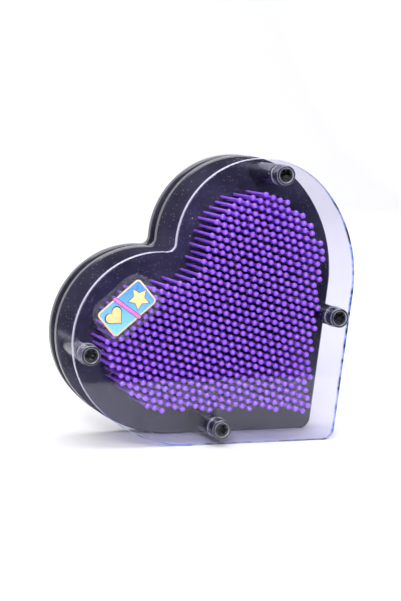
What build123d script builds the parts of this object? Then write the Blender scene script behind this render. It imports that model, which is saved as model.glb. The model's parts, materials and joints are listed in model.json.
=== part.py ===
from build123d import *
import math
import os

# Pin art impression toy: a clear cover, two perforated plates and a field of
# sliding pins, clamped together on four corner posts.  All sizes in mm.
# Axes: +X right, +Y away from the viewer (into the toy), +Z up.  The heart
# stands on one straight side, so its axis leans over to the left.

os.makedirs("parts", exist_ok=True)

# ---------------------------------------------------------------- heart outline
# measured along the heart's own axis, from the (sharp) tip towards the notch
LOBE_R = 44.6            # radius of each upper lobe
LOBE_A = 100.6           # lobe centre, distance from the tip along the axis
LOBE_B = 34.45           # lobe centre, distance to either side of the axis
SHOULDER_R = 67.6        # larger arc that blends the lobe into the straight side
TIP_R = 6.0              # rounding of the tip
NOTCH_R = 4.0            # rounding at the bottom of the notch

# the straight side touches the shoulder arc: its angle to the axis, about 48 degrees
SHOULDER_B = LOBE_B + LOBE_R - SHOULDER_R
SIDE_ANGLE = (math.asin(SHOULDER_R / math.hypot(LOBE_A, SHOULDER_B))
              + math.atan2(SHOULDER_B, LOBE_A))

# ---------------------------------------------------------------- pins
PIN_PITCH = 4.0          # centre distance between neighbouring pins
PIN_SHAFT_D = 1.5
PIN_HEAD_D = 2.8         # ball head
PIN_HOLE_D = 2.0         # guide hole in both plates
PIN_REACH = 28.0         # ball centre in front of the front plate, pins pushed forward
PIN_TAIL = 4.0           # shaft left behind the rear plate in that position
PIN_TAIL_EDGE = 0.3
FIRST_ROW = 21.8         # first row of pins, distance from the tip along the axis
FIELD_X, FIELD_Z = 0.8, -0.4     # the pin field sits a little off the heart's axis

# pins in each row, counted from the tip up, and how many are left out in the
# middle of the last four rows, where the notch comes down between the lobes
PINS_IN_ROW = (2, 3, 4, 7, 8, 9, 12, 13, 16, 17, 20, 21, 22, 25, 26, 29,
               30, 31, 30, 31, 32, 31, 32, 31, 30, 31, 30, 29, 28, 25, 22)
NOTCH_GAP = {27: 3, 28: 6, 29: 9, 30: 12}

# ---------------------------------------------------------------- stack depths
PLATE_T = 5.0            # front and rear plate
PLATE_GAP = 6.6          # between the two plates
COVER_GAP = 29.7         # between front plate and cover
COVER_T = 3.0
PLATE_EDGE = 0.7         # chamfer round the plates
COVER_EDGE = 0.35        # polished edge break round the cover

# ---------------------------------------------------------------- corner posts
UPPER_POST = (121.9, 65.5)       # along the axis, to either side of it
LOWER_POST = (48.1, 41.0)
SPACER_D = 10.0
SPACER_BORE = 5.4
SPACER_EDGE = 0.3
SCREW_SHANK_D = 5.0
SCREW_HOLE_D = 5.4       # in cover and plates
WASHER_D = 10.8          # thin clear washer between cover and screw head
WASHER_T = 0.6
SCREW_HEAD_D = 9.8
SCREW_HEAD_H = 7.1
SCREW_HEAD_EDGE = 0.55
SCREW_RIM_BORE = 7.3     # shallow round recess in the head's face
SCREW_RIM_DEPTH = 0.9
GROOVE_DEPTH = 0.3       # shallow groove round the head, just behind its face
GROOVE_W = 0.4
GROOVE_BACK = 1.9        # its rear side, behind the face
SOCKET_D = 5.9           # six-lobed socket, across the lobe roots
SOCKET_LOBE_D = 1.7
SOCKET_CORE_D = 4.5      # between the lobes
SOCKET_DEPTH = 5.2
NUT_AF = 8.0             # cap nut at the back, across flats
NUT_H = 3.4
NUT_DOME_D = 7.0
NUT_DOME_H = 1.6
NUT_DOME_TAPER = 35.0    # degrees
NUT_BORE = 5.1
NUT_BORE_END = 0.4       # bore beyond the end of the screw

# ---------------------------------------------------------------- badge on the cover
BADGE_W, BADGE_H = 34.0, 23.0    # clear film that carries the printed badge
BADGE_CORNER_R = 8.0
BADGE_T = 0.2
BADGE_A, BADGE_B = 125.3, -36.3  # centre, along and across the heart's axis
BADGE_TURN = 40.0                # long side against the horizontal, degrees

# ---------------------------------------------------------------- placing things
DEPTH_FRONT = COVER_GAP + COVER_T + WASHER_T + SCREW_HEAD_H     # ahead of the front plate
DEPTH_BACK = 2 * PLATE_T + PLATE_GAP + NUT_H + NUT_DOME_H
FACE_Y = (DEPTH_FRONT - DEPTH_BACK) / 2              # front plate's face, toy centred

cos_s, sin_s = math.cos(SIDE_ANGLE), math.sin(SIDE_ANGLE)
AXIS = Vector(-cos_s, sin_s)     # tip to notch, in the X-Z plane
ACROSS = Vector(sin_s, cos_s)    # towards the upper right lobe


def spot(a, b):
    """Point of the X-Z plane, a mm along the heart's axis and b mm across it."""
    return AXIS * a + ACROSS * b


def heart():
    """Heart outline, tip at the origin, lower straight side along -X."""
    shoulder = (LOBE_A, SHOULDER_B)
    notch_a = LOBE_A + math.sqrt(LOBE_R ** 2 - LOBE_B ** 2)
    side_end = (shoulder[0] - SHOULDER_R * sin_s, shoulder[1] + SHOULDER_R * cos_s)
    mid_shoulder = (math.pi / 2 + math.pi / 2 + SIDE_ANGLE) / 2
    to_notch = math.atan2(-LOBE_B, notch_a - LOBE_A)
    mid_lobe = (math.pi / 2 + to_notch) / 2
    edges = []
    for side in (1, -1):
        tip = spot(0, 0)
        end = spot(side_end[0], side * side_end[1])
        on_shoulder = spot(shoulder[0] + SHOULDER_R * math.cos(mid_shoulder),
                           side * (shoulder[1] + SHOULDER_R * math.sin(mid_shoulder)))
        widest = spot(LOBE_A, side * (LOBE_B + LOBE_R))
        on_lobe = spot(LOBE_A + LOBE_R * math.cos(mid_lobe),
                       side * (LOBE_B + LOBE_R * math.sin(mid_lobe)))
        edges += [Line(tip, end), ThreePointArc(end, on_shoulder, widest),
                  ThreePointArc(widest, on_lobe, spot(notch_a, 0))]
    face = make_face(edges)
    tip_corner = face.vertices().sort_by_distance(spot(0, 0))[0]
    face = fillet(tip_corner, TIP_R)
    notch_corner = face.vertices().sort_by_distance(spot(notch_a, 0))[0]
    return fillet(notch_corner, NOTCH_R)


outline = heart()
box = outline.bounding_box()
SHIFT = Vector(-(box.min.X + box.max.X) / 2, -box.min.Y)     # toy stands on Z = 0, centred
outline = Pos(SHIFT.X, SHIFT.Y) * outline


def place(a, b):
    """Sketch point of a spot given along and across the heart's axis."""
    p = spot(a, b) + SHIFT
    return (p.X, p.Y)


def at(depth):
    """Sketch plane `depth` mm in front of the front plate's face, facing the viewer."""
    return Plane.XZ.offset(depth - FACE_Y)


def slab(sketch, back, front):
    """Sketch extruded between two depths."""
    return extrude(at(back) * sketch, front - back)


def ring(outer, bore, where, back, front):
    return slab(Pos(*where) * (Circle(outer / 2) - Circle(bore / 2)), back, front)


def save(solids, name):
    """Write one part; a list of solids becomes one group of separate solids."""
    group = Compound(children=solids) if isinstance(solids, list) else solids
    group.label = name
    export_step(group, f"parts/{name}.step")


posts = {
    "top": place(UPPER_POST[0], UPPER_POST[1]),
    "right": place(LOWER_POST[0], LOWER_POST[1]),
    "bottom": place(LOWER_POST[0], -LOWER_POST[1]),
    "left": place(UPPER_POST[0], -UPPER_POST[1]),
}

# ---------------------------------------------------------------- rows of pins
rows = []
for index, count in enumerate(PINS_IN_ROW):
    a = FIRST_ROW + index * PIN_PITCH * math.sqrt(3) / 2
    gap = NOTCH_GAP.get(index, 0)
    row = []
    for k in range(count):
        if abs(2 * k - (count - 1)) < gap:
            continue
        x, z = place(a, (k - (count - 1) / 2) * PIN_PITCH)
        row.append((x + FIELD_X, z + FIELD_Z))
    rows.append(row)


def edges_at(solid, depth):
    """Outline edges of a plate at one depth, leaving the edges of its holes alone."""
    y = FACE_Y - depth
    flat = [f for f in solid.faces() if abs(f.normal_at().Y) > 0.99 and abs(f.center().Y - y) < 1e-3]
    return flat[0].outer_wire().edges()


# ---------------------------------------------------------------- perforated plates
def perforated_plate(back):
    """Black plate with a guide hole for every pin and four post holes."""
    holes = [Pos(*p) * Circle(PIN_HOLE_D / 2) for row in rows for p in row]
    holes += [Pos(*p) * Circle(SCREW_HOLE_D / 2) for p in posts.values()]
    sheet = Face(outline.face().outer_wire(), [h.face().outer_wire() for h in holes])
    plate = slab(Sketch() + sheet, back, back + PLATE_T)
    rim = edges_at(plate, back) + edges_at(plate, back + PLATE_T)
    return chamfer(rim, PLATE_EDGE)


REAR_BACK = -2 * PLATE_T - PLATE_GAP         # rear face of the rear plate
save(perforated_plate(-PLATE_T), "front_plate")
save(perforated_plate(REAR_BACK), "rear_plate")

# ---------------------------------------------------------------- clear cover
cover_back, cover_front = COVER_GAP, COVER_GAP + COVER_T
cover = slab(outline, cover_back, cover_front)
rim = edges_at(cover, cover_back) + edges_at(cover, cover_front)
cover = chamfer(rim, COVER_EDGE)
for where in posts.values():
    cover -= slab(Pos(*where) * Circle(SCREW_HOLE_D / 2), cover_back, cover_front)
save(cover, "front_cover")

# ---------------------------------------------------------------- printed badge
badge = Pos(*place(BADGE_A, BADGE_B)) * Rot(0, 0, BADGE_TURN) * \
    RectangleRounded(BADGE_W, BADGE_H, BADGE_CORNER_R)
save(slab(badge, cover_front, cover_front + BADGE_T), "cover_badge")

# ---------------------------------------------------------------- spacers
for name, where in posts.items():
    long_spacer = ring(SPACER_D, SPACER_BORE, where, 0, COVER_GAP)
    ends = long_spacer.edges().filter_by(GeomType.CIRCLE).filter_by(
        lambda e: abs(e.radius - SPACER_D / 2) < 1e-3)
    save(chamfer(ends, SPACER_EDGE), f"cover_spacer_{name}")
    save(ring(SPACER_D, SPACER_BORE, where, -PLATE_T - PLATE_GAP, -PLATE_T), f"plate_spacer_{name}")

# ---------------------------------------------------------------- washers and post screws
HEAD_BACK = cover_front + WASHER_T
HEAD_FACE = HEAD_BACK + SCREW_HEAD_H
SHANK_END = REAR_BACK - NUT_H


save([ring(WASHER_D, SCREW_HOLE_D, where, cover_front, HEAD_BACK) for where in posts.values()],
     "cover_washers")


def post_screw(where):
    """Long screw: tall round head with a rimmed six-lobed socket, plain shank."""
    head = slab(Pos(*where) * Circle(SCREW_HEAD_D / 2), HEAD_BACK, HEAD_FACE)
    face_edge = head.edges().filter_by(GeomType.CIRCLE).sort_by(Axis.Y)[0]
    head = chamfer(face_edge, SCREW_HEAD_EDGE)
    groove = HEAD_FACE - GROOVE_BACK
    head -= ring(SCREW_HEAD_D + 2, SCREW_HEAD_D - 2 * GROOVE_DEPTH, where, groove, groove + GROOVE_W)
    head -= slab(Pos(*where) * Circle(SCREW_RIM_BORE / 2), HEAD_FACE - SCREW_RIM_DEPTH, HEAD_FACE)
    lobes = Circle(SOCKET_CORE_D / 2)
    out = (SOCKET_D - SOCKET_LOBE_D) / 2
    for turn in (math.radians(60 * k) for k in range(6)):
        lobes += Pos(out * math.cos(turn), out * math.sin(turn)) * Circle(SOCKET_LOBE_D / 2)
    head -= slab(Pos(*where) * lobes, HEAD_FACE - SOCKET_DEPTH, HEAD_FACE)
    shank = slab(Pos(*where) * Circle(SCREW_SHANK_D / 2), SHANK_END, HEAD_BACK)
    return head + shank


save([post_screw(where) for where in posts.values()], "post_screws")


# ---------------------------------------------------------------- cap nuts
def cap_nut(where):
    """Hexagon cap nut with a low closed dome, against the rear plate."""
    body = slab(Pos(*where) * RegularPolygon(NUT_AF / 2, 6, major_radius=False),
                REAR_BACK - NUT_H, REAR_BACK)
    profile = Pos(*where) * Circle(NUT_DOME_D / 2)
    dome = extrude(at(REAR_BACK - NUT_H) * profile, -NUT_DOME_H, taper=NUT_DOME_TAPER)
    bore = slab(Pos(*where) * Circle(NUT_BORE / 2), REAR_BACK - NUT_H - NUT_BORE_END, REAR_BACK)
    return body + dome - bore


save([cap_nut(where) for where in posts.values()], "post_nuts")


# ---------------------------------------------------------------- pins
def pin():
    """One pin along Y at the origin of the X-Z plane: shaft, ball head, rounded tail."""
    ball_y = FACE_Y - PIN_REACH
    tail_y = FACE_Y - REAR_BACK + PIN_TAIL
    length = tail_y - ball_y
    shaft = Pos(0, ball_y + length / 2, 0) * Rot(90, 0, 0) * Cylinder(PIN_SHAFT_D / 2, length)
    tail_edge = shaft.edges().filter_by(GeomType.CIRCLE).sort_by(Axis.Y)[-1]
    shaft = chamfer(tail_edge, PIN_TAIL_EDGE)
    return shaft + Pos(0, ball_y, 0) * Sphere(PIN_HEAD_D / 2)


one_pin = pin()
for index, row in enumerate(rows, start=1):
    save([Pos(x, 0, z) * one_pin for x, z in row], f"pin_row_{index:02d}")
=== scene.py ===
import json
import math
import random

import bpy
import numpy as np
from mathutils import Matrix, Vector

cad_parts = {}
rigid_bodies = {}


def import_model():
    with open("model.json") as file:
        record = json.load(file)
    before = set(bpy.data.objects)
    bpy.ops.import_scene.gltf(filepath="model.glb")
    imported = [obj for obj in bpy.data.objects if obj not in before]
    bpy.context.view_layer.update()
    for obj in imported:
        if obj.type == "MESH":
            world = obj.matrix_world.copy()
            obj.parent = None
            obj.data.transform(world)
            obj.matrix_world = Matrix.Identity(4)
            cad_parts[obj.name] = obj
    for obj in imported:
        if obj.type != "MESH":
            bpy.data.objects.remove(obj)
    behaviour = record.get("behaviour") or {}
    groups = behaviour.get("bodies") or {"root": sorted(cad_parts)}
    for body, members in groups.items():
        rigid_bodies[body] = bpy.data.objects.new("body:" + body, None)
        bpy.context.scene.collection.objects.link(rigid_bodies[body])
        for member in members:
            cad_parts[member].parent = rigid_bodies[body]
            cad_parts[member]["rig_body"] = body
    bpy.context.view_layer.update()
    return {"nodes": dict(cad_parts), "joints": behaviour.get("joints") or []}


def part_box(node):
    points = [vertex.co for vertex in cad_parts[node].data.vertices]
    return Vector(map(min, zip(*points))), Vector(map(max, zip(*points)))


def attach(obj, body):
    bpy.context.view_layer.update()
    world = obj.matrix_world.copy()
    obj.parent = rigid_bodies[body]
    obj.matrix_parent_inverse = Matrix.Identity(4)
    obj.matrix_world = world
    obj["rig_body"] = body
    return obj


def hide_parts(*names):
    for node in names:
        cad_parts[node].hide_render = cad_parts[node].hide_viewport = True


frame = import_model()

# Pin art toy.  Lengths in metres, in the CAD frame: +X right, +Y into the toy, +Z up.
MM = 0.001
NODES = frame["nodes"]
SLIDES = {joint["child"]: joint for joint in frame["joints"]}

# ---------------------------------------------------------------- camera
VIEW_AZIMUTH, VIEW_ELEVATION, VIEW_ROLL = -18.67, 6.63, 1.19      # degrees
VIEW_DISTANCE = 0.924
VIEW_AIM = Vector((-0.0009, 0.0, 0.0697))
LENS_MM, SENSOR_MM = 109.4, 36.0

# ---------------------------------------------------------------- pins
PIN_SEED = 7
PIN_SIDES = 20                   # facets round a pin
HEAD_RINGS = 9                   # rings of facets round a ball head
TAIL_BEVEL = 0.3 * MM
TAIL_RIM = 0.1 * MM              # CAD points this close to the end of a row are its pins' tail rims
TAIL_STRETCH = 1 * MM            # end of a pin that is plain shaft
PIN_PLAY = 0.25 * MM             # between shaft and guide hole
LEAN_SHARE = 0.9                 # of that play, which a pin's lean takes up at most
HEAD_SINK = 0.15 * MM            # heads stop short of the cover by up to this much more
PIN_REACH_ROUND = 1.9 * MM       # more than a ball head's radius, less than half the spacing
SAME_POINT = 7                   # decimals of a metre to which points count as one

# ---------------------------------------------------------------- badge
BADGE_TURN = 40.0                # long side against the horizontal, degrees
PRINT_STEP = 0.04 * MM           # height of one printed layer
PANEL_WIDE, PANEL_HIGH, PANEL_CORNER = 28.0 * MM, 15.5 * MM, 2.4 * MM
SYMBOL_OUTLINE = 1.2             # dark outline's size over its symbol's, millimetres
STRIPE_TURN = 14.0               # against the panel's short side, degrees

# ---------------------------------------------------------------- meshes
SHARP_ANGLE = math.radians(40)   # edges that turn by more than this are shaded sharp

# ---------------------------------------------------------------- finishes
ACRYLIC_IOR, PLASTIC_IOR, FILM_IOR = 1.49, 1.5, 1.45
NOISE_LOW, NOISE_HIGH = 0.3, 0.7             # most of a noise lies between these
GRAIN_SIZE, GRAIN_DEPTH, GRAIN_STRENGTH = 0.35 * MM, 0.02 * MM, 0.25

# Dust: size of a cell, share of the cells with a speck, a speck's radius in cells, its strength.
COVER_FINE_DUST = (1.3 * MM, 0.50, 0.20, 0.12)
COVER_COARSE_DUST = (5.0 * MM, 0.50, 0.07, 0.45)
PLATE_DUST = (1.5 * MM, 0.60, 0.24, 0.20)

# Masks: each pair is where the mask starts and where it is full.
COVER_EDGE = (0.85, 0.55)                    # share of the cover's normal that runs front to back
FILM_EDGE = (0.9, 0.3)                       # the same for the badge's film
SHADED_LOWER_RIGHT = (-85 * MM, -65 * MM)           # X minus Z: from painted light at the upper left to painted reflections and shade at the lower right of the cover's cut edge
FLOOR_GLOW = (0.9, 2.2)                      # distance to the side and ahead, for the floor

# Face of a screw head, as distances from its axis and depths behind its front, for a painted
# highlight round the recess and the lip and a painted shade inside the socket.
RIM_R = 3.65 * MM                            # round recess
RIM_OFF, RIM_DEPTH = (0.22 * MM, 0.12 * MM), (1.0 * MM, 0.8 * MM)     # off the recess's radius
LIP_R, LIP_DEPTH = (4.55 * MM, 4.75 * MM), (0.75 * MM, 0.55 * MM)
SOCKET_R, SOCKET_DEPTH = (3.3 * MM, 3.1 * MM), (1.0 * MM, 1.6 * MM)
LIP_HIGHLIGHT, SOCKET_SHADE = 0.45, 0.95           # strengths of the painted highlight on the lip and of the painted shade in the socket

# ---------------------------------------------------------------- studio
FLOOR_HALF = 3.0                             # half its width
FLOOR_FRONT, FLOOR_SPLIT = -2.5, -0.215      # the toy mirrors only what is behind the split
CURVE_START, CURVE_R, CURVE_STEPS = 1.6, 0.9, 24
BACKDROP_TOP = 2.6
TOY_MIDDLE = (0.0, 0.0, 0.07)
LAMPS = (                                    # name, place, aim, width, height, watts
    ("key_upper_left", (-0.6, -1.3, 0.85), TOY_MIDDLE, 0.45, 0.45, 32),
    ("key_front", (-0.05, -1.5, 0.42), TOY_MIDDLE, 0.5, 0.5, 14),
    ("overhead", (0.1, -0.3, 1.6), TOY_MIDDLE, 1.6, 1.0, 27),
    ("back_wash", (0.0, 0.9, 2.0), (0.0, 2.0, 0.4), 3.5, 1.2, 76),
)
AIR_BELOW, AIR_ABOVE = (0.04, 0.02, 0.08), (0.85, 0.85, 1.0)
AIR_HORIZON = 0.03                           # upward part of a direction where the air is full
AIR_LIGHT, AIR_SEEN = 0.18, 1.0              # world strength, for light and for the camera


# ---------------------------------------------------------------- node helpers
def new_material(name):
    """Empty node material."""
    mat = bpy.data.materials.new(name)
    mat.use_nodes = True
    mat.node_tree.nodes.clear()
    return mat


def put(mat, kind, inputs=None, **settings):
    """New shader node with its settings; an input takes a value or another node's socket."""
    node = mat.node_tree.nodes.new("ShaderNode" + kind)
    for key, value in settings.items():
        setattr(node, key, value)
    for key, value in (inputs or {}).items():
        if isinstance(value, bpy.types.NodeSocket):
            mat.node_tree.links.new(value, node.inputs[key])
        else:
            node.inputs[key].default_value = value
    return node


def finished(mat, shader):
    """Material with its last shader linked to the output."""
    put(mat, "OutputMaterial", {"Surface": shader})
    return mat


def place_of(mat):
    """Position on the piece, in metres; the CAD frame and every piece share it at rest."""
    return put(mat, "TexCoord").outputs["Object"]


def place_parts(mat):
    """X, Y and Z of the position on the piece."""
    return put(mat, "SeparateXYZ", {"Vector": place_of(mat)}).outputs


def noise(mat, size, detail=3.0, rough=0.5, coords=None):
    """Noise from 0 to 1 whose blobs are about `size` metres across."""
    return put(mat, "TexNoise", {"Vector": coords or place_of(mat), "Scale": 1 / size,
                                 "Detail": detail, "Roughness": rough}).outputs["Fac"]


def remap(mat, value, lo, hi, to_lo=0.0, to_hi=1.0):
    """Value mapped from lo..hi to to_lo..to_hi and clamped."""
    return put(mat, "MapRange", {"Value": value, "From Min": lo, "From Max": hi,
                                 "To Min": to_lo, "To Max": to_hi}).outputs["Result"]


def math_node(mat, what, a, b=0.0):
    return put(mat, "Math", {0: a, 1: b}, operation=what).outputs[0]


def times(mat, a, b):
    return math_node(mat, "MULTIPLY", a, b)


def distance(mat, a, b):
    """Length of the diagonal over two sides."""
    return math_node(mat, "SQRT", math_node(mat, "ADD", times(mat, a, a), times(mat, b, b)))


def opaque(colour):
    return (*colour, 1.0)


def ramp(mat, value, *stops):
    """Colour ramp through (position, (r, g, b)) stops."""
    node = put(mat, "ValToRGB", {"Fac": value})
    elements = node.color_ramp.elements
    while len(elements) < len(stops):
        elements.new(0.5)
    for element, (position, colour) in zip(elements, stops):
        element.position = position
        element.color = opaque(colour)
    return node.outputs["Color"]


def vary(mat, value, low, high):
    """Number that goes from low to high with a noise."""
    return remap(mat, value, NOISE_LOW, NOISE_HIGH, low, high)


def vary_colour(mat, value, dark, light):
    """Colour that goes from dark to light with a noise."""
    return ramp(mat, value, (NOISE_LOW, dark), (NOISE_HIGH, light))


def mix_colour(mat, share, under, over):
    return put(mat, "MixRGB", {"Fac": share, "Color1": under, "Color2": over}).outputs["Color"]


def mix_shader(mat, share, under, over):
    return put(mat, "MixShader", {"Fac": share, 1: under, 2: over}).outputs[0]


def front_on(mat):
    """1 where the surface faces the front or the back, 0 where it faces a side."""
    normal = put(mat, "SeparateXYZ", {"Vector": put(mat, "NewGeometry").outputs["Normal"]})
    return math_node(mat, "ABSOLUTE", normal.outputs["Y"])


def post_radius(mat):
    """Distance from the axis of the nearest post, in metres."""
    spot = place_parts(mat)
    nearest = None
    for side in ("top", "right", "bottom", "left"):
        lo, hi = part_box("cover_spacer_" + side)
        across = math_node(mat, "SUBTRACT", spot["X"], (lo.x + hi.x) / 2)
        up = math_node(mat, "SUBTRACT", spot["Z"], (lo.z + hi.z) / 2)
        away = distance(mat, across, up)
        nearest = math_node(mat, "MINIMUM", nearest, away) if nearest else away
    return nearest


def specks(mat, cell, share, radius, strength):
    """Mask of small dust specks, each in its own cell of a 3-D cell pattern."""
    cells = put(mat, "TexVoronoi", {"Vector": place_of(mat), "Scale": 1 / cell})
    chosen = put(mat, "SeparateColor", {"Color": cells.outputs["Color"]}).outputs["Red"]
    dot = remap(mat, cells.outputs["Distance"], radius, radius * 0.5)
    return times(mat, times(mat, dot, math_node(mat, "LESS_THAN", chosen, share)), strength)


def gloss_over(mat, under, rough):
    """Clear gloss over another shader, stronger at a flat angle, the same from both sides."""
    shine = put(mat, "BsdfGlossy", {"Roughness": rough}).outputs[0]
    inside = put(mat, "NewGeometry").outputs["Backfacing"]
    bend = remap(mat, inside, 0.0, 1.0, ACRYLIC_IOR, 1 / ACRYLIC_IOR)
    fresnel = put(mat, "Fresnel", {"IOR": bend}).outputs[0]
    return mix_shader(mat, fresnel, under, shine)


def grained_plastic(mat, tone, rough):
    """Opaque plastic with a fine moulded grain."""
    grain = put(mat, "Bump", {"Height": noise(mat, GRAIN_SIZE, 2.0), "Distance": GRAIN_DEPTH,
                              "Strength": GRAIN_STRENGTH})
    return put(mat, "BsdfPrincipled", {"Base Color": tone, "Roughness": rough, "IOR": PLASTIC_IOR,
                                       "Normal": grain.outputs["Normal"]}).outputs[0]


# ---------------------------------------------------------------- materials
def clear_acrylic():
    """Polished clear sheet with a breath of lavender, dust and smears; its cut edges carry painted
    light and painted reflections.
    """
    mat = new_material("clear_acrylic")

    # two polished faces
    clear = put(mat, "BsdfTransparent", {"Color": opaque((0.885, 0.879, 0.968))}).outputs[0]
    smear = noise(mat, 30 * MM, 5.0, 0.6)
    pane = gloss_over(mat, clear, remap(mat, smear, 0.35, 0.7, 0.01, 0.06))
    dust = put(mat, "BsdfDiffuse", {"Color": opaque((0.60, 0.60, 0.68))}).outputs[0]
    dirt = remap(mat, noise(mat, 40 * MM), 0.50, 0.85, 0.0, 0.004)
    for kind in (COVER_FINE_DUST, COVER_COARSE_DUST):
        dirt = math_node(mat, "ADD", dirt, specks(mat, *kind))
    faces = mix_shader(mat, dirt, pane, dust)

    # cut edge: milky, with pale painted light at the upper left and painted reflections and shade,
    # streaked blue and ink-dark, at the lower right
    pale, sky = (0.62, 0.59, 0.80), (0.45, 0.66, 0.98)
    blue, ink = (0.10, 0.30, 0.85), (0.006, 0.010, 0.06)
    through = put(mat, "VectorMath", {0: place_of(mat), 1: (1.0, 0.15, 1.0)},
                  operation="MULTIPLY").outputs[0]
    streak = noise(mat, 16 * MM, 3.0, 0.6, through)
    # painted reflections and painted shade, in streaks of blue, sky and ink
    painted_reflection_streaks = ramp(mat, streak, (0.38, ink), (0.42, blue), (0.46, sky), (0.50, pale),
                   (0.53, blue), (0.56, ink), (0.60, ink), (0.65, sky))
    spot = place_parts(mat)
    # mask from the painted-light side at the upper left to the painted-reflection side at the lower
    # right
    shaded_lower_right = remap(mat, math_node(mat, "SUBTRACT", spot["X"], spot["Z"]), *SHADED_LOWER_RIGHT)
    tone = mix_colour(mat, shaded_lower_right, opaque(pale), painted_reflection_streaks)
    milky = put(mat, "BsdfDiffuse", {"Color": tone}).outputs[0]
    see = put(mat, "BsdfTransparent", {"Color": tone}).outputs[0]
    edge = mix_shader(mat, remap(mat, shaded_lower_right, 0.0, 1.0, 0.55, 0.35), see, milky)
    edge = gloss_over(mat, edge, vary(mat, streak, 0.10, 0.25))

    return finished(mat, mix_shader(mat, remap(mat, front_on(mat), *COVER_EDGE), faces, edge))


def plate_plastic():
    """Satin black sheet: faint clouds, fine grain, settled dust and slightly uneven gloss."""
    mat = new_material("plate_black")
    cloud = noise(mat, 14 * MM, 4.0)
    dark, light = (tuple(c * k for c in (0.0170, 0.0160, 0.0295)) for k in (0.75, 1.3))
    tone = mix_colour(mat, specks(mat, *PLATE_DUST), vary_colour(mat, cloud, dark, light),
                      opaque((0.34, 0.33, 0.38)))
    return finished(mat, grained_plastic(mat, tone, vary(mat, cloud, 0.16, 0.25)))


def post_plastic():
    """Black posts: a pale painted highlight round the recess and the head's lip, painted shade
    inside the socket.
    """
    mat = new_material("post_black")
    radius = post_radius(mat)
    depth = math_node(mat, "SUBTRACT", place_parts(mat)["Y"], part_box("post_screws")[0].y)
    off_rim = math_node(mat, "ABSOLUTE", math_node(mat, "SUBTRACT", radius, RIM_R))
    # pale painted highlight round the recess's edge and the head's lip
    rim_highlight = times(mat, remap(mat, off_rim, *RIM_OFF), remap(mat, depth, *RIM_DEPTH))
    lip = times(mat, remap(mat, radius, *LIP_R), remap(mat, depth, *LIP_DEPTH, 0.0, LIP_HIGHLIGHT))
    # noise that breaks the painted highlight into patches
    highlight_patches = remap(mat, noise(mat, 2.5 * MM), 0.35, 0.60, 0.45, 1.0)
    painted_highlight = times(mat, math_node(mat, "MAXIMUM", rim_highlight, lip), highlight_patches)
    # painted shade, deeper in the socket the darker
    socket = times(mat, remap(mat, radius, *SOCKET_R),
                   remap(mat, depth, *SOCKET_DEPTH, 0.0, SOCKET_SHADE))
    cloud = noise(mat, 6 * MM, 4.0)
    tone = vary_colour(mat, cloud, (0.008, 0.008, 0.016), (0.018, 0.018, 0.030))
    # the painted highlight's pale colour
    tone = mix_colour(mat, painted_highlight, tone, opaque((0.27, 0.27, 0.33)))
    # the painted shade's nearly black colour
    tone = mix_colour(mat, socket, tone, opaque((0.001, 0.001, 0.002)))
    return finished(mat, grained_plastic(mat, tone, vary(mat, cloud, 0.14, 0.24)))


def purple_plastic():
    """Glossy moulded pins, with a slightly different tone here and there."""
    mat = new_material("purple_plastic")
    tone = vary_colour(mat, noise(mat, 7 * MM, 2.0), (0.295, 0.090, 0.64), (0.35, 0.112, 0.71))
    return finished(mat, put(mat, "BsdfPrincipled", {
        "Base Color": tone, "Roughness": vary(mat, noise(mat, 1.5 * MM), 0.26, 0.36),
        "IOR": PLASTIC_IOR, "Specular IOR Level": 0.9}).outputs[0])


def print_ink(name, low, high):
    """Printed ink that shades from one colour to another up the badge, under a soft gloss."""
    mat = new_material(name)
    lo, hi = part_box("cover_badge")
    height = remap(mat, place_parts(mat)["Z"], lo.z, hi.z)
    return finished(mat, put(mat, "BsdfPrincipled", {
        "Base Color": ramp(mat, height, (0.1, low), (0.9, high)),
        "Roughness": vary(mat, noise(mat, 2 * MM), 0.25, 0.35), "IOR": PLASTIC_IOR}).outputs[0])


def clear_film():
    """Thin clear film of the badge: nearly invisible but for a faint edge."""
    mat = new_material("badge_film")
    return finished(mat, put(mat, "BsdfPrincipled", {
        "Base Color": opaque((0.80, 0.80, 0.90)), "IOR": FILM_IOR,
        "Roughness": vary(mat, noise(mat, 3 * MM), 0.1, 0.25),
        "Alpha": remap(mat, front_on(mat), *FILM_EDGE, 0.02, 0.14)}).outputs[0])


def clear_washer():
    """Thin clear washer, partly milky."""
    mat = new_material("clear_washer")
    cloud = noise(mat, 3 * MM)
    tone = vary_colour(mat, cloud, (0.36, 0.36, 0.46), (0.48, 0.48, 0.60))
    milky = put(mat, "BsdfDiffuse", {"Color": tone}).outputs[0]
    see = put(mat, "BsdfTransparent", {"Color": opaque((0.90, 0.90, 0.97))}).outputs[0]
    body = mix_shader(mat, vary(mat, cloud, 0.15, 0.40), see, milky)
    return finished(mat, gloss_over(mat, body, vary(mat, cloud, 0.06, 0.15)))


def floor_white():
    """Pale floor; a faint glow to the sides and ahead makes up for the lamps' fall-off there."""
    mat = new_material("floor_white")
    spot = place_parts(mat)
    away = distance(mat, spot["X"], math_node(mat, "MINIMUM", spot["Y"], 0.0))
    tone = ramp(mat, noise(mat, 0.2, 2.0), (0.0, (0.55, 0.55, 0.555)), (1.0, (0.565, 0.565, 0.567)))
    return finished(mat, put(mat, "BsdfPrincipled", {
        "Base Color": tone, "Roughness": 0.9, "Emission Color": opaque((1.0, 1.0, 1.0)),
        "Emission Strength": remap(mat, away, *FLOOR_GLOW)}).outputs[0])


# ---------------------------------------------------------------- mesh helpers
def new_object(name, verts, faces, mat):
    """Smooth mesh object in the scene."""
    mesh = bpy.data.meshes.new(name)
    mesh.from_pydata(verts, [], faces)
    mesh.materials.append(mat)
    mesh.polygons.foreach_set("use_smooth", [True] * len(mesh.polygons))
    obj = bpy.data.objects.new(name, mesh)
    bpy.context.scene.collection.objects.link(obj)
    return obj


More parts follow.
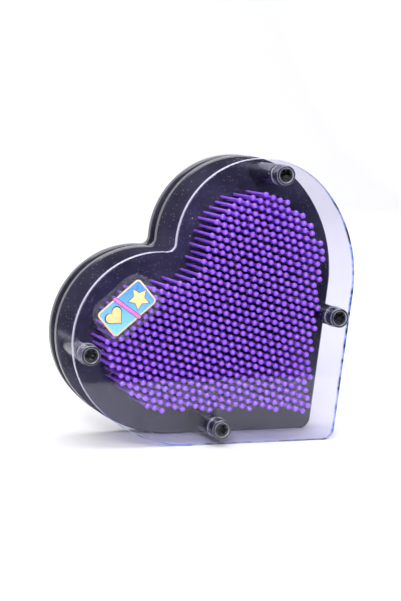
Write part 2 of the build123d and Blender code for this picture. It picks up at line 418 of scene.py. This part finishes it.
def new_piece(name, verts, faces, mat, body):
    """Mesh object that rides on a body, with the finish it is given."""
    piece = new_object(name, verts, faces, mat)
    piece.data.set_sharp_from_angle(angle=SHARP_ANGLE)
    piece.data.validate()
    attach(piece, body)
    return piece


# ---------------------------------------------------------------- building the pins
def points_of(node):
    """Vertices of a CAD node as an array of (x, y, z)."""
    mesh = NODES[node].data
    flat = np.empty(len(mesh.vertices) * 3, np.float32)
    mesh.vertices.foreach_get("co", flat)
    return flat.reshape(-1, 3).astype(float)


def shaft_axes(points):
    """(x, z) of each pin of a row, from the ring of points round the end of its shaft."""
    ends = points[points[:, 1] > points[:, 1].max() - TAIL_RIM][:, (0, 2)]
    centres = []
    while len(ends):
        own = np.hypot(*(ends - ends[0]).T) < PIN_REACH_ROUND
        ring = np.unique(np.round(ends[own], SAME_POINT), axis=0)
        centres.append(tuple((ring.min(0) + ring.max(0)) / 2))
        ends = ends[~own]
    return sorted(centres)


def pin_radii(points, axis):
    """Radius of the ball head and of the shaft, from one pin of a row."""
    away = np.hypot(*(points[:, (0, 2)] - axis).T)
    own = away < PIN_REACH_ROUND
    at_end = points[:, 1] > points[:, 1].max() - TAIL_STRETCH
    return away[own].max(), away[at_end & own].max()


def pin_profile(head_r, shaft_r, ball_y, tail_y):
    """Y of the front pole, (radius, y) rings of the ball, shaft and bevelled tail, Y of the end."""
    last = math.pi - math.asin(shaft_r / head_r)
    rings = []
    for k in range(1, HEAD_RINGS + 1):
        turn = last * k / HEAD_RINGS
        rings.append((head_r * math.sin(turn), ball_y - head_r * math.cos(turn)))
    rings.append((shaft_r, tail_y - TAIL_BEVEL))
    rings.append((shaft_r - TAIL_BEVEL, tail_y))
    return ball_y - head_r, rings, tail_y


def add_pin(verts, faces, profile, x, z, pivot_y, lean_x, lean_z, sink):
    """Append one pin, leaning a little about its point at pivot_y."""
    front_y, rings, tail_y = profile

    def at(radius, turn, y):
        y += sink
        return (x + radius * math.cos(turn) + lean_x * (y - pivot_y), y,
                z + radius * math.sin(turn) + lean_z * (y - pivot_y))

    first = len(verts)
    verts.append(at(0, 0, front_y))
    for radius, y in rings:
        verts.extend(at(radius, 2 * math.pi * k / PIN_SIDES, y) for k in range(PIN_SIDES))
    verts.append(at(0, 0, tail_y))
    last = len(verts) - 1
    for k in range(PIN_SIDES):
        after = (k + 1) % PIN_SIDES
        faces.append((first, first + 1 + k, first + 1 + after))
        for ring in range(len(rings) - 1):
            a = first + 1 + ring * PIN_SIDES
            b = a + PIN_SIDES
            faces.append((a + k, b + k, b + after, a + after))
        end = last - PIN_SIDES
        faces.append((end + k, last, end + after))


def build_pins(mat):
    """Each row of pins as smooth mesh; every pin leans by its own small part of the play."""
    chance = random.Random(PIN_SEED)
    rear_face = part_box("rear_plate")[1].y
    front_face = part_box("front_plate")[0].y
    rows = sorted(n for n in NODES if n.startswith("pin_row_"))
    for number, node in enumerate(rows, start=1):
        body = NODES[node]["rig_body"]
        back = SLIDES[body]["range_m"][1]
        points = points_of(node)
        axes = shaft_axes(points)
        head_r, shaft_r = pin_radii(points, axes[0])
        profile = pin_profile(head_r, shaft_r, points[:, 1].min() + head_r, points[:, 1].max())
        # stretch of pin that passes through the plates at some point of its travel
        near, far = front_face - back, rear_face
        pivot_y = (near + far) / 2
        most = LEAN_SHARE * PIN_PLAY / ((far - near) / 2)
        verts, faces = [], []
        for x, z in axes:
            turn, lean = chance.uniform(0, 2 * math.pi), most * math.sqrt(chance.random())
            add_pin(verts, faces, profile, x, z, pivot_y, lean * math.cos(turn),
                    lean * math.sin(turn), chance.uniform(0, HEAD_SINK))
        piece = new_piece(f"purple_pins_{number:02d}", verts, faces, mat, body)
        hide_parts(node)


# ---------------------------------------------------------------- building the badge
def rounded_panel(width, height, corner, steps=8):
    """Outline of a panel with round corners, centred."""
    points = []
    for sx, sy, start in ((1, 1, 0), (-1, 1, 90), (-1, -1, 180), (1, -1, 270)):
        for k in range(steps + 1):
            turn = math.radians(start + 90 * k / steps)
            points.append((sx * (width / 2 - corner) + corner * math.cos(turn),
                           sy * (height / 2 - corner) + corner * math.sin(turn)))
    return points


def heart_outline(size, steps=48):
    """Outline of a plain heart of about that width: a well-known curve, 32 wide, centred."""
    points = []
    for turn in (2 * math.pi * k / steps for k in range(steps)):
        u = 16 * math.sin(turn) ** 3
        v = (13 * math.cos(turn) - 5 * math.cos(2 * turn) - 2 * math.cos(3 * turn)
             - math.cos(4 * turn))
        points.append((-u * size / 32, (v + 2.5) * size / 32))
    return points


def star_outline(size):
    """Outline of a plain five-pointed star of about that width."""
    radii = (size / 2, size / 4)
    return [(radii[k % 2] * math.cos(math.pi / 2 + math.pi * k / 5),
             radii[k % 2] * math.sin(math.pi / 2 + math.pi * k / 5)) for k in range(10)]


def turned(u, v, degrees):
    """Point turned about the origin."""
    cos_t, sin_t = math.cos(math.radians(degrees)), math.sin(math.radians(degrees))
    return u * cos_t - v * sin_t, u * sin_t + v * cos_t


def badge_layer(name, outline, level, mat, shift=(0.0, 0.0), turn=0.0):
    """One printed layer: an outline in the badge's plane, standing on the layers below it."""
    lo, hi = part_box("cover_badge")
    centre = (lo + hi) / 2
    ring = []
    for u, v in outline:
        u, v = turned(u, v, turn)
        across, up = turned(u + shift[0], v + shift[1], BADGE_TURN)
        ring.append((centre.x + across, centre.z + up))
    back, front = lo.y - (level - 1) * PRINT_STEP, lo.y - level * PRINT_STEP
    n = len(ring)
    verts = [(x, front, z) for x, z in ring] + [(x, back, z) for x, z in ring]
    faces = [tuple(range(n)), tuple(reversed(range(n, 2 * n)))]
    faces += [(k, k + n, (k + 1) % n + n, (k + 1) % n) for k in range(n)]
    new_piece(name, verts, faces, mat, "frame")


def build_badge():
    """Plain blue panel with a cream border, a heart, a star and a pink stripe between them."""
    ink = print_ink("ink_dark", (0.020, 0.022, 0.05), (0.030, 0.032, 0.07))
    cream = print_ink("ink_cream", (0.50, 0.35, 0.14), (0.56, 0.43, 0.22))
    blue = print_ink("ink_blue", (0.14, 0.36, 0.56), (0.035, 0.15, 0.42))
    pink = print_ink("ink_pink", (0.45, 0.08, 0.32), (0.55, 0.14, 0.40))

    # name, inset in millimetres, ink, from the lowest layer up
    panels = (("badge_outline", 0.0, ink), ("badge_border", 0.25, cream),
              ("badge_panel", 0.95, blue))
    for level, (name, inset, mat) in enumerate(panels, start=1):
        inset *= MM
        badge_layer(name, rounded_panel(PANEL_WIDE - 2 * inset, PANEL_HIGH - 2 * inset,
                                        PANEL_CORNER - inset), level, mat)
    below, top = len(panels) + 1, len(panels) + 2

    # name, shape, size and place in millimetres, turn in degrees
    for name, shape, size, shift, turn in (("badge_heart", heart_outline, 9.0, (-7.2, 0.0), 6.0),
                                           ("badge_star", star_outline, 11.0, (7.4, -0.4), -8.0)):
        place = (shift[0] * MM, shift[1] * MM)
        badge_layer(name + "_outline", shape((size + SYMBOL_OUTLINE) * MM), below, ink, place, turn)
        badge_layer(name, shape(size * MM), top, cream, place, turn)

    # name, width, height and corner in millimetres, layer, ink
    for name, wide, high, corner, level, mat in (
            ("badge_stripe_outline", 2.2, 17.4, 1.05, below, ink),
            ("badge_stripe", 1.6, 16.8, 0.75, top, pink)):
        badge_layer(name, rounded_panel(wide * MM, high * MM, corner * MM), level, mat,
                    turn=STRIPE_TURN)


# ---------------------------------------------------------------- looks of the CAD nodes
def dress(node, mat):
    """Give a CAD node a finish; its shape stays as it is."""
    obj = NODES[node]
    if not obj.material_slots:
        obj.data.materials.append(mat)
    for slot in obj.material_slots:
        slot.link = "OBJECT"
        slot.material = mat


# ---------------------------------------------------------------- building the studio
def stage_strip(name, mat, line):
    """Stage surface as wide as the floor that follows a line of (y, z) points."""
    verts = [(x, y, z) for y, z in line for x in (-FLOOR_HALF, FLOOR_HALF)]
    faces = [(2 * k, 2 * k + 1, 2 * k + 3, 2 * k + 2) for k in range(len(line) - 1)]
    obj = new_object(name, verts, faces, mat)
    return obj


def build_floor(mat):
    """Pale floor that curves up into a backdrop far behind; the toy mirrors only its near part."""
    turns = (k / CURVE_STEPS * math.pi / 2 for k in range(CURVE_STEPS + 1))
    curve = [(CURVE_START + CURVE_R * math.sin(turn), CURVE_R * (1 - math.cos(turn)))
             for turn in turns]
    stage_strip("floor_and_backdrop", mat,
                [(FLOOR_SPLIT, 0.0), *curve, (CURVE_START + CURVE_R, BACKDROP_TOP)])
    ahead = stage_strip("floor_ahead", mat, [(FLOOR_FRONT, 0.0), (FLOOR_SPLIT, 0.0)])
    ahead.visible_glossy = False


def area_light(name, place, aim, width, height, watts):
    data = bpy.data.lights.new(name, "AREA")
    data.shape = "RECTANGLE"
    data.size, data.size_y = width, height
    data.energy = watts
    lamp = bpy.data.objects.new(name, data)
    lamp.location = place
    lamp.rotation_euler = (Vector(aim) - Vector(place)).to_track_quat("-Z", "Y").to_euler()
    bpy.context.scene.collection.objects.link(lamp)


def build_world():
    """Pale air over a dark lower half for light and reflections, plain white for the camera."""
    world = bpy.data.worlds.new("studio_air")
    world.use_nodes = True
    shade = world.node_tree.nodes["Background"]
    upward = put(world, "SeparateXYZ", {"Vector": put(world, "TexCoord").outputs["Generated"]})
    air = ramp(world, upward.outputs["Z"], (0.0, AIR_BELOW), (AIR_HORIZON, AIR_ABOVE))
    seen = put(world, "LightPath").outputs["Is Camera Ray"]
    colour = mix_colour(world, seen, air, opaque((1.0, 1.0, 1.0)))
    strength = remap(world, seen, 0.0, 1.0, AIR_LIGHT, AIR_SEEN)
    world.node_tree.links.new(colour, shade.inputs["Color"])
    world.node_tree.links.new(strength, shade.inputs["Strength"])
    bpy.context.scene.world = world


def build_studio():
    build_floor(floor_white())
    for lamp in LAMPS:
        area_light(*lamp)
    build_world()
    bpy.context.scene.view_settings.view_transform = "Standard"


def build_camera():
    """Camera at the aim point's azimuth, elevation and distance, rolled a little."""
    turn, rise = math.radians(VIEW_AZIMUTH), math.radians(VIEW_ELEVATION)
    back = Vector((math.sin(turn) * math.cos(rise), -math.cos(turn) * math.cos(rise),
                   math.sin(rise)))
    data = bpy.data.cameras.new("camera")
    data.lens, data.sensor_width = LENS_MM, SENSOR_MM
    camera = bpy.data.objects.new("camera", data)
    level = (-back).to_track_quat("-Z", "Y").to_matrix().to_4x4()
    roll = Matrix.Rotation(math.radians(VIEW_ROLL), 4, "Z")
    camera.matrix_world = Matrix.Translation(VIEW_AIM + back * VIEW_DISTANCE) @ level @ roll
    bpy.context.scene.collection.objects.link(camera)
    bpy.context.scene.camera = camera


# ---------------------------------------------------------------- the toy
plate_black = plate_plastic()
post_black = post_plastic()
dress("front_cover", clear_acrylic())
dress("front_plate", plate_black)
dress("rear_plate", plate_black)
dress("cover_badge", clear_film())
dress("cover_washers", clear_washer())
for node in NODES:
    if "spacer" in node or node in ("post_screws", "post_nuts"):
        dress(node, post_black)
build_pins(purple_plastic())
build_badge()
build_studio()
build_camera()
